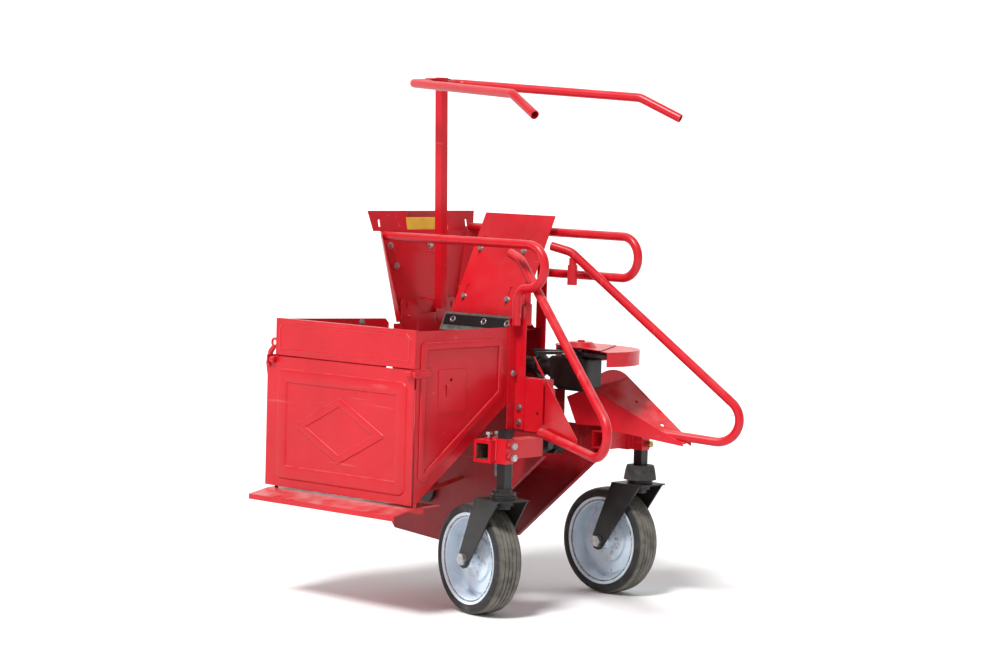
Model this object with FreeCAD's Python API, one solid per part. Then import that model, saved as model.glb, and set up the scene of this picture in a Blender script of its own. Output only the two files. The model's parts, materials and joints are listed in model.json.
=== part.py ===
"""Walk-behind single-row maize picker header with an ear bin and two front casters.

Working axes while building: +X forwards, +Y to the machine's left, +Z up, ground at Z = 0, with the
X and Y zero on the right-hand caster's stem. Everything is shifted at the end so that the origin is
the centre of the whole machine's footprint. Millimetres throughout.
"""
import FreeCAD, Part
import math
import os

from FreeCAD import Vector as V

# Driving dimensions
ROW_Y = 315.0            # centre plane of the crop row
PANEL_HALF = 140.0       # row centre to each side panel's outer face
SHEET = 3.0              # header sheet thickness
BIN_SHEET = 2.0
REAR_X = -595.0          # header's rear wall, rear face
FRONT_X = -22.0          # front face of the front beam
BROW, CHIN = (-22.0, 419.0), (-339.0, 145.0)    # ends of the cheeks' raked front edge, X and Z
FLANGE = 18.0
PIPE_R = 12.5            # guide rails, loops and arms
PIPE_WALL = 2.5

BEAM = 50.0              # front beam, square
BEAM_X, BEAM_Z = -47.0, 447.0
BEAM_Y0, BEAM_Y1 = -38.0, 612.0
SLIDE_GAP = 0.1
TIP_GAP = 0.3            # left between a set screw's point and the tube that it clamps

WHEEL_R, TYRE_W = 150.0, 80.0
RIM_R, BARREL_R = 124.0, 112.0
TRAIL = 106.0
AXLE_R, KINGPIN_R, RUN_GAP = 10.0, 12.0, 0.06
STEM, HOLDER = 28.0, 34.0
STEM_TOP, STEM_BASE = 506.0, 341.0
NEAR_STEM_Y, FAR_STEM_Y = 0.0, 571.0
NEAR_YAW, FAR_YAW = -13.1, -2.5

BIN_X0, BIN_X1 = -650.0, -123.0
BIN_Y = -224.0           # outer face of the bin's upper panel
WALL_Y = -217.0          # outer edge of the bin's end walls, clear of the door's top corner
BIN_TOP, DOOR_TOP, DOOR_BOTTOM = 765.0, 663.0, 307.0
DOOR_AXIS_Y, DOOR_AXIS_Z = -231.5, 653.0
LATCH_X, LATCH_Y, LATCH_Z = -688.0, -200.0, 590.0

PEG_X, PEG_Y = -146.0, 424.0                    # left loop's peg
SOCKET_X, SOCKET_Y = -108.0, 194.0              # right loop's peg
ARM_SPREAD_REAR, ARM_SPREAD_BEND, ARM_SPREAD_END = 95, 268, 306
POST_X, POST_FOOT, POST_TOP, POST_LEAN = -542.0, 785.0, 1440.0, 21.0 / 660

ROLL_Z, ROLL_GAP, ROLL_R = 440.0, 84.0, 36.0
STUB_R, STUB_LENGTH = 10.0, 40.0                # the right roll's input end
GEAR_TEETH, GEAR_MODULE = 24, 3.5
STAR_X, STAR_Y, SHAFT_Z = -86.0, 400.0, 642.0
STAR_Z = 688.0
GUARD_R = 163.0
CHOP_X, CHOP_Z = -440.0, 285.0

NEAR_Y = ROW_Y - PANEL_HALF
FAR_Y = ROW_Y + PANEL_HALF
X_AXIS, Y_AXIS, Z_AXIS = V(1, 0, 0), V(0, 1, 0), V(0, 0, 1)
shapes = {}


def box(x0, x1, y0, y1, z0, z1):
    return Part.makeBox(x1 - x0, y1 - y0, z1 - z0, V(x0, y0, z0))


def cyl(centre, axis, radius, length):
    """Cylinder that starts at centre and runs along axis."""
    return Part.makeCylinder(radius, length, V(*centre), axis)


def slab(points, direction):
    """Closed outline of 3-D points, extruded along direction."""
    corners = [V(*p) for p in points]
    return Part.Face(Part.makePolygon(corners + corners[:1])).extrude(V(*direction))


def side_slab(outline, y0, y1):
    return slab([(x, y0, z) for x, z in outline], (0, y1 - y0, 0))


def front_slab(outline, x0, x1):
    return slab([(x0, y, z) for y, z in outline], (x1 - x0, 0, 0))


def fuse(*solids):
    solid = solids[0]
    for other in solids[1:]:
        solid = solid.fuse(other)
    return solid.removeSplitter()


def group(solids):
    return Part.makeCompound(list(solids))


def beam_bar(y0, y1, side=BEAM):
    """Square bar on the front beam's axis."""
    return box(BEAM_X - side / 2, BEAM_X + side / 2, y0, y1, BEAM_Z - side / 2, BEAM_Z + side / 2)


def filleted_path(points, radii):
    """Wire through points, with an arc of the given radius at each inner point."""
    corners = [V(*p) for p in points]
    start = corners[0]
    edges = []
    for i, radius in enumerate(radii, start=1):
        before = (corners[i - 1] - corners[i]).normalize()
        after = (corners[i + 1] - corners[i]).normalize()
        half = before.getAngle(after) / 2
        reach = radius / math.tan(half)
        first = corners[i] + before * reach
        last = corners[i] + after * reach
        bisector = (before + after).normalize()
        middle = corners[i] + bisector * (radius / math.sin(half) - radius)
        if (first - start).Length > 0.01:
            edges.append(Part.LineSegment(start, first).toShape())
        edges.append(Part.Arc(first, middle, last).toShape())
        start = last
    edges.append(Part.LineSegment(start, corners[-1]).toShape())
    return Part.Wire(edges)


def pipe(points, radii, outer=PIPE_R, wall=PIPE_WALL):
    """Round tube bent along a path, open at both ends when wall is given."""
    path = filleted_path(points, radii)
    heading = (V(*points[1]) - V(*points[0])).normalize()

    def sweep(radius):
        ring = Part.Wire([Part.makeCircle(radius, V(*points[0]), heading)])
        return path.makePipeShell([ring], True, True)

    solid = sweep(outer)
    return solid.cut(sweep(outer - wall)) if wall else solid


def hexagon(centre, axis, across, height):
    """Hexagon prism that starts at centre and runs along axis."""
    axis = V(axis).normalize()
    side = axis.cross(Z_AXIS if abs(axis.z) < 0.9 else X_AXIS).normalize()
    up = axis.cross(side)
    radius = across / math.sqrt(3)
    angles = [math.radians(60 * k) for k in range(6)]
    ring = [V(*centre) + side * (radius * math.cos(a)) + up * (radius * math.sin(a)) for a in angles]
    return Part.Face(Part.makePolygon(ring + ring[:1])).extrude(axis * height)


def bolt(seat, axis, grip, radius=4.0, across=13.0, head=5.5, washer=9.0):
    """Hexagon bolt with a washer under its head and a nut: seat is on the sheet, axis points in."""
    inward = V(axis).normalize()
    seat = V(*seat)
    parts = [Part.makeCylinder(washer, 1.5, seat, inward * -1),
             hexagon(seat - inward * 1.5, inward * -1, across, head),
             Part.makeCylinder(radius, grip + 9, seat, inward),
             hexagon(seat + inward * grip, inward, across, 6.5)]
    return fuse(*parts)


def drill(node, seat, axis, radius=4.0, depth=40.0):
    """Clearance hole through a node's sheets for a bolt at seat."""
    inward = V(axis).normalize()
    hole = Part.makeCylinder(radius, depth, V(*seat) - inward * (depth / 4), inward)
    shapes[node] = shapes[node].cut(hole)


# ---------------------------------------------------------------- header frame

def side_panels():
    """Cheeks either side of the row; a folded flange stiffens each one's raked front edge."""
    rear_low = [CHIN, (-567, 165), (REAR_X, 200)]
    near = [(FRONT_X, 485), BROW] + rear_low + [(REAR_X, 560), (-126, 560), (-126, 485)]
    far = ([(FRONT_X, 485), BROW] + rear_low
           + [(REAR_X, 742), (-283, 742), (-283, 575), (-186, 575), (-186, 485)])
    flange = [BROW, CHIN, (CHIN[0], CHIN[1] + 4), (BROW[0] - 3.5, BROW[1] + 1)]
    right = fuse(side_slab(near, NEAR_Y, NEAR_Y + SHEET), side_slab(flange, NEAR_Y, NEAR_Y + FLANGE))
    left = fuse(side_slab(far, FAR_Y - SHEET, FAR_Y), side_slab(flange, FAR_Y - FLANGE, FAR_Y))
    shaft = cyl((CHOP_X, 0, CHOP_Z), Y_AXIS, 14, 700)
    shapes["side_panel_right"] = right.cut(shaft)
    shapes["side_panel_left"] = left.cut(shaft).cut(beam_bar(FAR_Y - 13, FAR_Y))


def floor_pan():
    """Folded sheet under the rear of the header, with the chopper's opening."""
    t = SHEET
    front_x, front_z = CHIN[0] - 6, CHIN[1] + 0.5
    outer = [(front_x, front_z), (-567, 165), (REAR_X, 200)]
    inner = [(REAR_X, 200 + 1.4 * t), (-565, 165 + 1.3 * t), (front_x, front_z + t)]
    pan = side_slab(outer + inner, NEAR_Y + SHEET, FAR_Y - SHEET)
    outlet = box(-540, -365, NEAR_Y + 30, FAR_Y - 30, 140, 185)
    shapes["floor_pan"] = pan.cut(outlet)


def rear_wall():
    wall = box(REAR_X, REAR_X + SHEET, NEAR_Y + SHEET, FAR_Y - SHEET, 205, 742)
    for y in (ROW_Y - ROLL_GAP / 2, ROW_Y + ROLL_GAP / 2):
        wall = wall.cut(cyl((REAR_X - 5, y, ROLL_Z), X_AXIS, 15, 20))
    shapes["rear_wall"] = wall.cut(cyl((REAR_X - 5, STAR_Y, SHAFT_Z), X_AXIS, 25, 20))


def front_beams():
    """Two square tubes in line, welded to the cheeks so that the row stays open between them."""
    bore = BEAM - 8
    tubes = [beam_bar(BEAM_Y0, NEAR_Y).cut(beam_bar(BEAM_Y0, NEAR_Y, bore)),
             beam_bar(FAR_Y - 13, BEAM_Y1).cut(beam_bar(FAR_Y - 13, BEAM_Y1, bore))]
    shapes["front_beams"] = group(tubes)


def column_bracket():
    """Folded channel on the header's right-hand top corner that carries the corner post."""
    y = NEAR_Y - SHEET
    face = box(-118, FRONT_X, y, y + SHEET, 487, 628)
    front = box(FRONT_X - SHEET, FRONT_X, y, y + 42, 487, 628)
    top = box(-118, FRONT_X, y, y + 42, 625, 628)
    foot = box(-118, FRONT_X, y, y + 42, 485, 488)
    hole = cyl((-42, y - 5, 535), Y_AXIS, 5, 20)
    shapes["column_bracket"] = fuse(face, front, top, foot).cut(hole)


def angle_post(x, y, z0, z1, inward):
    """30 mm angle iron: one leaf faces forwards, the other faces along -Y * inward."""
    leaf_a = box(x - SHEET, x, min(y, y - inward * 33), max(y, y - inward * 33), z0, z1)
    leaf_b = box(x - SHEET, x + 33, min(y, y - inward * SHEET), max(y, y - inward * SHEET), z0, z1)
    return fuse(leaf_a, leaf_b)


def corner_posts():
    shapes["corner_post_right"] = angle_post(-120, NEAR_Y - SHEET, 489, 790, 1)
    shapes["corner_post_left"] = angle_post(-300, FAR_Y, 565, 936, -1)


def data_plate():
    outline = [(-192, 404), (-126, 404), (-126, 350), (-192, 350)]
    shapes["data_plate"] = side_slab(outline, NEAR_Y - 1, NEAR_Y)


# ---------------------------------------------------------------- ear bin

def bin_walls():
    """End walls follow the sloping floor; the front one has a raised pad with a hole and a slot."""
    low = [(WALL_Y, DOOR_BOTTOM + 10), (-205, 312), (140, 557)]
    front = low + [(140, BIN_TOP), (WALL_Y, BIN_TOP)]
    rear = low + [(206, 600), (214, 640), (214, 740), (200, BIN_TOP - 12), (WALL_Y, BIN_TOP)]
    pad = box(BIN_X1 - BIN_SHEET, BIN_X1 + 2, -133, -27, 547, 661)
    wall = fuse(front_slab(front, BIN_X1 - BIN_SHEET, BIN_X1), pad)
    wall = wall.cut(cyl((BIN_X1 - 10, -85, 632), X_AXIS, 5, 20))
    shapes["bin_front_wall"] = wall.cut(box(BIN_X1 - 10, BIN_X1 + 10, -107, -101, 588, 620))
    shapes["bin_rear_wall"] = front_slab(rear, BIN_X0, BIN_X0 + BIN_SHEET)


def bin_floor():
    t = 2.5
    top = [(-205, 323), (133, 562), (172, 562)]
    bottom = [(172, 562 - t), (134, 562 - t), (-205, 323 - 1.25 * t)]
    shapes["bin_floor"] = front_slab(top + bottom, BIN_X0 + BIN_SHEET, BIN_X1 - BIN_SHEET)


def bin_upper_panel():
    face = box(BIN_X0, BIN_X1, BIN_Y, BIN_Y + BIN_SHEET, DOOR_TOP + 4, BIN_TOP)
    rim = box(BIN_X0, BIN_X1, BIN_Y + BIN_SHEET, BIN_Y + 14, BIN_TOP, BIN_TOP + BIN_SHEET)
    lip = box(BIN_X0, BIN_X1, BIN_Y, BIN_Y + BIN_SHEET, BIN_TOP, BIN_TOP + BIN_SHEET)
    webs = [box(x, x + BIN_SHEET, BIN_Y + BIN_SHEET, WALL_Y, DOOR_TOP + 4, BIN_TOP)
            for x in (BIN_X0, BIN_X1 - BIN_SHEET)]
    shapes["bin_upper_panel"] = fuse(face, lip, rim, *webs)


def chute_lip():
    """Sheet below the door that carries the ears clear of the header, with a folded front edge."""
    outline = [(-120, 301), (-223, 300), (-296, 287), (-296, 273), (-294, 273), (-294, 285), (-223, 298),
               (-120, 299)]
    sheet = front_slab(outline, -668, -116)
    ties = [front_slab([(WALL_Y, 300), (-205, 300), (-205, 311), (WALL_Y, 316)], x, x + BIN_SHEET)
            for x in (BIN_X0, BIN_X1 - BIN_SHEET)]
    brace = side_slab([(-668, 299), (-175, 299), (-175, 270), (-668, 270)], -122, -120)
    rake = [(-122, 272), (-122, 275), (NEAR_Y, 335), (NEAR_Y, 332)]
    struts = [front_slab(rake, x, x + 25) for x in (-330, -570)]
    shapes["chute_lip"] = fuse(sheet, brace, *ties, *struts)


def door():
    """Top-hung outlet door with two hinge barrels on its outer face."""
    y = BIN_Y - 1
    face = side_slab([(-664, DOOR_TOP), (-664, 635), (-680, 625), (-680, DOOR_BOTTOM), (-123, DOOR_BOTTOM),
                      (-123, DOOR_TOP)], y, y + BIN_SHEET)
    barrels = [cyl((x, DOOR_AXIS_Y, DOOR_AXIS_Z), X_AXIS, 8, 16) for x in (-142, -661)]
    bores = [cyl((x - 5, DOOR_AXIS_Y, DOOR_AXIS_Z), X_AXIS, 5 + RUN_GAP, 30) for x in (-142, -661)]
    solid = fuse(face, *barrels)
    for bore in bores:
        solid = solid.cut(bore)
    shapes["door"] = solid


def door_hinges():
    """Brackets riveted to the end walls, and the pins that they hold."""
    front = fuse(box(BIN_X1, BIN_X1 + SHEET, -240, -158, 642, 666),
                 cyl((BIN_X1, DOOR_AXIS_Y, DOOR_AXIS_Z), X_AXIS, 11, 4))
    rear = fuse(box(BIN_X0 - SHEET, BIN_X0, -206, -158, 642, 666),
                box(-668, BIN_X0, -209, -206, 642, 666),
                box(-668, -665, -240, -206, 642, 666))
    holes = [cyl((-700, y, 654), X_AXIS, 3, 700) for y in (-196, -176)]
    pin_hole = cyl((-700, DOOR_AXIS_Y, DOOR_AXIS_Z), X_AXIS, 5, 700)
    plates = group([front, rear])
    for hole in holes:
        plates = plates.cut(hole)
    pins = [cyl((x, DOOR_AXIS_Y, DOOR_AXIS_Z), X_AXIS, 5, 24) for x in (-143, -668)]
    shapes["bin_brackets"] = group([fuse(plate, pin) for plate, pin in zip(plates.Solids, pins)])


def latch():
    """Hand lever on the bin's rear corner that holds the door shut, and its bracket."""
    ear_y = LATCH_Y + 10
    base = box(-653, -650, -216, -150, LATCH_Z - 15, LATCH_Z + 15)
    bracket = fuse(base, box(-696, -650, ear_y, ear_y + 3, LATCH_Z - 15, LATCH_Z + 15))
    stud = cyl((LATCH_X, ear_y, LATCH_Z), V(0, -1, 0), 6, 17)
    shapes["bin_brackets"] = group([shapes["bin_brackets"], fuse(bracket, stud)])
    outline = [(-8, -10), (8, -10), (10, 4), (-2, 22), (-8, 48), (-2, 78), (10, 94), (3, 100), (-12, 84),
               (-20, 50), (-14, 18)]
    grip = side_slab([(LATCH_X + x, LATCH_Z + z) for x, z in outline], LATCH_Y - 5, LATCH_Y + 5)
    eye = cyl((LATCH_X, LATCH_Y - 6, LATCH_Z), Y_AXIS, 11, 12)
    ring = Part.makeTorus(10, 3.5, V(LATCH_X + 8, LATCH_Y, LATCH_Z + 107), Y_AXIS)
    bore = cyl((LATCH_X, LATCH_Y - 9, LATCH_Z), Y_AXIS, 6 + RUN_GAP, 20)
    shapes["latch_lever"] = fuse(grip, eye, ring).cut(bore)


# ---------------------------------------------------------------- guide rails and loops

def rail_right():
    """Hand rail from the back plate round to the corner post, a 25 mm tube."""
    path = [(-600, 136, 991), (-14, 154, 990), (-14, 154, 872), (-106.5, 151, 872), (-106.5, 151, 771)]
    shapes["rail_right"] = pipe(path, [58, 58, 32])


def rail_left():
    path = [(-600, 494, 1014), (46, 474, 1012), (46, 474, 898), (-299, 478, 898)]
    bar = pipe(path, [56, 56])
    sleeve = cyl((PEG_X, PEG_Y, 872), Z_AXIS, 14, 56)
    arm = box(PEG_X - 8, PEG_X + 8, PEG_Y, 468, 892, 904).cut(pipe(path, [56, 56], wall=0))
    bore = cyl((PEG_X, PEG_Y, 885), Z_AXIS, 10.6, 60)
    shapes["rail_left"] = fuse(bar, sleeve, arm).cut(bore)


def loop(side, drop):
    """Stalk guide in one splayed upright plane: rear stub, long upper bar, front bend, lower bar."""
    splay = math.radians(20)

    def place(x, z):
        y = PANEL_HALF + 12 + (x + 20) * math.tan(splay)
        return (x, ROW_Y + side * y, z)

    path = [place(-205, 978 - drop), place(-150, 964 - drop), place(448, 447 - drop), place(-16, 487)]
    return pipe(path, [55, 62]), place


def loops():
    """The left loop's peg drops into the rail's sleeve, the right one's into a sleeve on the post."""
    left, _ = loop(1, 0)
    peg = cyl((PEG_X, PEG_Y, 887), Z_AXIS, 10.5, 60)
    shapes["loop_left"] = fuse(left, peg)
    right, _ = loop(-1, 18)
    peg = cyl((SOCKET_X, SOCKET_Y, 786), Z_AXIS, 10.5, 112)
    shapes["loop_right"] = fuse(right, peg)
    sleeve = cyl((SOCKET_X, SOCKET_Y, 770), Z_AXIS, 14, 58)
    sleeve = sleeve.cut(cyl((SOCKET_X, SOCKET_Y, 785), Z_AXIS, 10.6, 60))
    tab = box(SOCKET_X - 8, SOCKET_X + 8, NEAR_Y - SHEET - 1, SOCKET_Y - 10, 775, 822)
    tab = tab.cut(cyl((SOCKET_X, SOCKET_Y, 760), Z_AXIS, 13.5, 80))
    shapes["corner_post_right"] = fuse(shapes["corner_post_right"], sleeve, tab)


def snouts():
    """Sheet guides beside the row, welded along the lower bars of the loops."""
    run = V(math.cos(math.radians(20)), math.sin(math.radians(20)), 0)

    def wall_point(s, z):
        p = V(-20, ROW_Y + PANEL_HALF - 2.5, 0) + run * s
        return (p.x, p.y, z)

    sheet = [(-128, 562), (-60, 592), (214, 452), (218, 445), (8, 475), (-2, 486), (-98, 486)]
    wall = slab([wall_point(s, z) for s, z in sheet], (-0.7, 2, 0))
    fold_rear, fold_tip = wall_point(-60, 592), wall_point(214, 452)
    edge_tip, edge_rear = (194, 549, 458), (-50, 568, 616)
    top_a = slab([fold_rear, fold_tip, edge_rear], (0, 0, -2))
    top_b = slab([fold_tip, edge_tip, edge_rear], (0, 0, -2))
    chord = [V(*fold_rear), V(-62, 506, 640), V(*edge_rear)]
    arch = Part.Wire([Part.Arc(*chord).toShape(), Part.LineSegment(chord[2], chord[0]).toShape()])
    arch = Part.Face(arch).extrude(V(2, 0, 0))
    arch.translate(V(0, 0, -1.5))
    web = slab([edge_rear, edge_tip, (194, 549, 446), (-50, 568, 560)], (0, -2, 0))
    snout = fuse(wall, top_a, top_b, arch, web)
    for hole in ((20, 520), (110, 525)):
        snout = snout.cut(cyl((hole[0], hole[1], 400), Z_AXIS, 5, 300))
    shapes["loop_left"] = fuse(shapes["loop_left"], snout)

    run = V(math.cos(math.radians(20)), -math.sin(math.radians(20)), 0)

    def right_point(s, z):
        p = V(-20, ROW_Y - PANEL_HALF + 0.5, 0) + run * s
        return (p.x, p.y, z)

    outline = [(3, 488), (3, 631), (-38, 652), (-64, 686), (182, 487), (186, 450), (100, 462)]
    wall = slab([right_point(s, z) for s, z in outline], (0.7, 2, 0))
    corners = [right_point(4, 620), right_point(4, 506), (-17, NEAR_Y + 39, 506), (-17, NEAR_Y + 39, 600)]
    flange = slab(corners, (2, 0, 0))
    shapes["loop_right"] = fuse(shapes["loop_right"], wall, flange)


def guide_bar():
    """Square post with a U-shaped tube on top whose two arms reach forwards over the row."""
    def post_x(z):
        return POST_X - (z - POST_FOOT) * POST_LEAN

    def post_bar(half, z0, z1):
        corners = [(post_x(z0) - half, z0), (post_x(z0) + half, z0)]
        corners += [(post_x(z1) + half, z1), (post_x(z1) - half, z1)]
        return side_slab(corners, ROW_Y - half, ROW_Y + half)

    path = [(62, ROW_Y - ARM_SPREAD_END, 1337), (-53, ROW_Y - ARM_SPREAD_BEND, 1392),
            (-588, ROW_Y - ARM_SPREAD_REAR, 1421), (-588, ROW_Y + ARM_SPREAD_REAR, 1426),
            (-53, ROW_Y + ARM_SPREAD_BEND, 1397), (62, ROW_Y + ARM_SPREAD_END, 1342)]
    bends = [45, 30, 30, 45]
    cap = box(-606, -548, ROW_Y - 22, ROW_Y + 22, 1434, 1438)
    cap = fuse(cap, box(-603, -599, ROW_Y - 22, ROW_Y + 22, 1412, 1438))
    cap = cap.cut(post_bar(12.5, POST_FOOT, POST_TOP)).cut(pipe(path, bends, PIPE_R - 1, 0))
    post = post_bar(12.5, POST_FOOT, POST_TOP).cut(post_bar(10, POST_FOOT - 5, POST_TOP - 4))
    straps = [box(-597, post_x(z) - 9.5, ROW_Y - 10, ROW_Y + 10, z - 2, z + 2) for z in (810, 945)]
    shapes["guide_post"] = fuse(post.cut(pipe(path, bends, wall=0)), *straps)
    shapes["guide_arms"] = fuse(pipe(path, bends), cap)


def back_plate():
    """Tapered sheet above the rear wall that stops ears from flying out, with folded edges."""
    def point(y, z):
        return (-600 - (z - 750) * (18.0 / 310), y, z)

    main = slab([point(197, 745), point(433, 745), point(494, 1003), point(136, 1003)], (-2.5, 0, 0))
    lip = slab([point(109, 1003), point(521, 1003), (-626, 535, 1060), (-626, 95, 1060)], (-2.5, 0, 0))
    wings = []
    for side in (-1, 1):
        inner = [V(*point(ROW_Y + side * y, z)) - V(2, 0, 0) for y, z in ((118, 745), (179, 1003))]
        outer = [(-585, ROW_Y + side * 206, 1003), (-580, ROW_Y + side * 124, 755)]
        wings.append(slab(inner + outer[:1], (0, -side * 2.5, 0)))
        wings.append(slab(inner[:1] + outer, (0, -side * 2.5, 0)))
    plate = fuse(main, lip, *wings)
    for y in (ROW_Y - 180, ROW_Y + 180):
        plate = plate.cut(box(-700, -560, y - 4, y + 4, 1015, 1035))
    for rail in ("rail_right", "rail_left"):
        plate = plate.cut(shapes[rail])
    shapes["back_plate"] = plate


def post_bracket():
    """Bracket with two slotted ears that joins the back plate to the header."""
    outline = [(200, 700), (200, 798), (208, 810), (262, 810), (285, 770), (345, 770), (370, 812), (422, 812),
               (430, 800), (430, 700)]
    plate = front_slab(outline, REAR_X + SHEET, REAR_X + SHEET + 3)
    for y in (224, 408):
        plate = plate.cut(box(-600, -580, y - 3.5, y + 3.5, 784, 800))
    shapes["post_bracket"] = plate


def deflector():
    """Flat plate over the row, leaning towards the bin, with a rubber curtain clamped at its foot."""
    top_y, foot_y, top_z, foot_z = 455.0, 318.0, 1060.0, 778.0
    lean = V(0, top_y - foot_y, top_z - foot_z).normalize()
    normal = V(0, lean.z, -lean.y)

    def strip(x0, x1, s0, s1, n0, n1):
        base = V(0, foot_y, foot_z)
        points = [base + X_AXIS * x + lean * s0 + normal * n0 for x in (x0, x1)]
        points += [base + X_AXIS * x + lean * s1 + normal * n0 for x in (x1, x0)]
        return slab([tuple(p) for p in points], tuple(normal * (n1 - n0)))

    length = math.hypot(top_y - foot_y, top_z - foot_z)
    stay_places, bolt_places = (-488, -323), (50, 200)
    plate = strip(-505, -242, -45, length, 0, 2.5)
    for x in stay_places:
        for s in bolt_places:
            plate = plate.cut(strip(x + 8, x + 16, s - 20, s + 38, -1, 4))
    shapes["deflector"] = plate
    shapes["curtain"] = strip(-520, -222, -58, -2, -5.2, -0.2)
    shapes["curtain_clamp"] = strip(-512, -262, -40, -10, -8.4, -5.4)
    hangers = [strip(x, x + 25, 24, length - 70, 2.6, 6.6) for x in stay_places]
    feet = [box(x, x + 25, 380, FAR_Y - SHEET, 735, 739) for x in stay_places]
    base = V(0, foot_y, foot_z)
    low = base + lean * 62 + normal * 4
    rake = [(low.y, low.z), (low.y + 4, low.z), (FAR_Y - 7, 739), (FAR_Y - 11, 739)]
    legs = [front_slab(rake, x, x + 25) for x in stay_places]
    shapes["deflector_stays"] = group([fuse(h, l, f) for h, l, f in zip(hangers, legs, feet)])
    seats = [(x + 12, s) for x in stay_places for s in bolt_places]
    return [(base + X_AXIS * x + lean * s, normal) for x, s in seats]


# ---------------------------------------------------------------- row drive

def gear_outline(teeth, module, thickness=0.44, depth=(0.85, 1.25)):
    """Points of a straight-flanked gear's rim, with backlash left between the flanks."""
    pitch_r = teeth * module / 2
    tip_r, root_r = pitch_r + depth[0] * module, pitch_r - depth[1] * module
    step = 2 * math.pi / teeth
    points = []
    for k in range(teeth):
        for radius, share in ((root_r, -0.36), (tip_r, -0.16), (tip_r, 0.16), (root_r, 0.36)):
            angle = k * step + share * step * thickness / 0.5 * 0.9
            points.append((radius * math.cos(angle), radius * math.sin(angle)))
    return points


def spur_gear(x0, x1, y, z, bore, turn):
    points = gear_outline(GEAR_TEETH, GEAR_MODULE)
    blank = front_slab(points, x0, x1)
    blank.rotate(V(0, 0, 0), X_AXIS, turn)
    blank.translate(V(0, y, z))
    return blank.cut(cyl((x0 - 1, y, z), X_AXIS, bore, x1 - x0 + 2))


def snapping_rolls():
    """Pair of fluted rolls that pull the stalk down, geared together behind the rear wall."""
    for name, side in (("right", -1), ("left", 1)):
        y = ROW_Y + side * ROLL_GAP / 2
        core = cyl((-480, y, ROLL_Z), X_AXIS, 27, 370)
        nose = Part.makeCone(27, 12, 34, V(-110, y, ROLL_Z), X_AXIS)
        flutes = [box(-480, -118, -3, 3, 24, ROLL_R) for _ in range(6)]
        for k, flute in enumerate(flutes):
            flute.rotate(V(0, 0, 0), X_AXIS, 60 * k + (0 if side < 0 else 30))
            flute.translate(V(0, y, ROLL_Z))
        rear = -660 if side < 0 else -636
        shaft = cyl((rear, y, ROLL_Z), X_AXIS, 12, -480 - rear)
        roll = fuse(core, nose, *flutes, shaft)
        if side < 0:
            roll = fuse(roll, cyl((rear - STUB_LENGTH, y, ROLL_Z), X_AXIS, STUB_R, STUB_LENGTH))
        shapes["snapping_roll_" + name] = roll
        turn = 0 if side < 0 else 180.0 + 180.0 / GEAR_TEETH
        shapes["roll_gear_" + name] = spur_gear(-634, -612, y, ROLL_Z, 12, turn)


def gear_case():
    """Cast case on the rear wall around the roll gears and the upper drive, with the hitch flange."""
    x0, x1 = -645.0, REAR_X
    outer = [(215, 378), (405, 378), (420, 400), (440, 600), (440, 682), (360, 682), (360, 600), (335, 505),
             (215, 505)]
    inner = [(223, 386), (401, 386), (412, 402), (432, 602), (432, 674), (368, 674), (368, 596), (341, 497),
             (223, 497)]
    case = front_slab(outer, x0, x1).cut(front_slab(inner, x0 + 8, x1 - 4))
    for y in (ROW_Y - ROLL_GAP / 2, ROW_Y + ROLL_GAP / 2):
        case = case.cut(cyl((x1 - 10, y, ROLL_Z), X_AXIS, 14, 20))
    case = case.cut(cyl((x1 - 10, STAR_Y, SHAFT_Z), X_AXIS, 16, 20))
    flange = box(x0 - 12, x0, 243, 387, 370, 514)
    case = fuse(case, flange)
    case = case.cut(cyl((x0 - 20, ROW_Y - ROLL_GAP / 2, ROLL_Z), X_AXIS, 12 + RUN_GAP, 40))
    for y in (255, 375):
        for z in (382, 502):
            case = case.cut(cyl((x0 - 20, y, z), X_AXIS, 6.5, 21))
    shapes["gear_case"] = case


def roll_bearings():
    """Bearing rings: two on the rear wall for the rolls, and a flanged pair for the chopper."""
    rings = [cyl((-588, ROW_Y + s * ROLL_GAP / 2, ROLL_Z), X_AXIS, 24, 14) for s in (-1, 1)]
    bores = [cyl((-600, ROW_Y + s * ROLL_GAP / 2, ROLL_Z), X_AXIS, 12 + RUN_GAP, 60) for s in (-1, 1)]
    rings = [ring.cut(bore) for ring, bore in zip(rings, bores)]
    for y, direction in ((NEAR_Y, -1), (FAR_Y, 1)):
        ring = cyl((CHOP_X, y, CHOP_Z), Y_AXIS * direction, 32, 14)
        rings.append(ring.cut(cyl((CHOP_X, y - 20, CHOP_Z), Y_AXIS, 12 + RUN_GAP, 60)))
    shapes["shaft_bearings"] = group(rings)


def chopper():
    """Rotor with eight welded blades across the header, and its V-belt pulley outside."""
    tube = cyl((CHOP_X, NEAR_Y + 8, CHOP_Z), Y_AXIS, 26, 264)
    shaft = cyl((CHOP_X, NEAR_Y - 16, CHOP_Z), Y_AXIS, 12, 2 * PANEL_HALF + 70)
    blades = []
    for k in range(8):
        blade = box(-20, 20, -3, 3, 20, 92)
        blade.rotate(V(0, 0, 0), Y_AXIS, 90 * k + 45 * (k // 4))
        blade.translate(V(CHOP_X, NEAR_Y + 32 + 30.5 * k, CHOP_Z))
        blades.append(blade)
    shapes["chopper_rotor"] = fuse(tube, shaft, *blades)
    profile = [(12, 0), (45, 0), (45, 4), (33, 9), (33, 11), (45, 16), (45, 20), (12, 20)]
    points = [V(r, y, 0) for r, y in profile]
    pulley = Part.Face(Part.makePolygon(points + points[:1])).revolve(V(0, 0, 0), Y_AXIS, 360)
    pulley.translate(V(CHOP_X, FAR_Y + 22, CHOP_Z))
    shapes["chopper_pulley"] = pulley


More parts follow.
